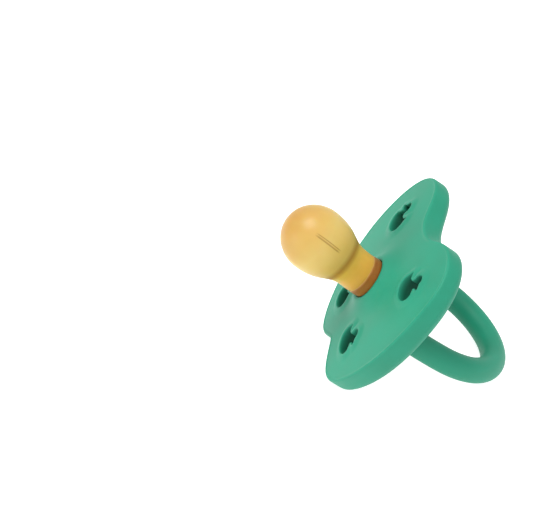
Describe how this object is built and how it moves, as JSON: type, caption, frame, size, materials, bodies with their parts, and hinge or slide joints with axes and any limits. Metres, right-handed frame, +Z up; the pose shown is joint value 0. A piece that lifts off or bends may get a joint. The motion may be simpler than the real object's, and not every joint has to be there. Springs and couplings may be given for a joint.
{
  "type": "pacifier",
  "caption": "Baby pacifier of soft rubber: a curved shield with duck-shaped vents, a hollow cherry-shaped teat in front and a loop handle behind.",
  "frame": {"origin": "on the floor, under the middle of the object's bounding box, with the pacifier standing on its two chin lobes and the tip of its ring", "axes": "+Z up; +X across the shield, square to the mirror plane; -Y the side that the teat points to; +Y the side of the ring"},
  "size_m": [0.058, 0.0554, 0.0407],
  "materials": {
    "green_rubber": "satin, opaque sea green, moulded with a faint texture",
    "amber_rubber": "smooth, translucent amber, soft sheen"
  },
  "bodies": {
    "shield": {"shield": "green_rubber", "teat_anchor": "amber_rubber"},
    "ring": {"handle_ring": "green_rubber"},
    "teat": {"teat": "amber_rubber"}
  },
  "joints": [
    {"name": "ring_flex", "type": "hinge", "parent": "shield", "child": "ring", "pos_m": [0, 0.00313, 0.01613], "axis": [1, 0, 0], "range_deg": [-45, 40], "stiffness_Nm_per_rad": 0.06},
    {"name": "teat_flex", "type": "hinge", "parent": "shield", "child": "teat", "pos_m": [0, -0.0086, 0.02395], "axis": [1, 0, 0], "range_deg": [-25, 25], "stiffness_Nm_per_rad": 0.02}
  ]
}
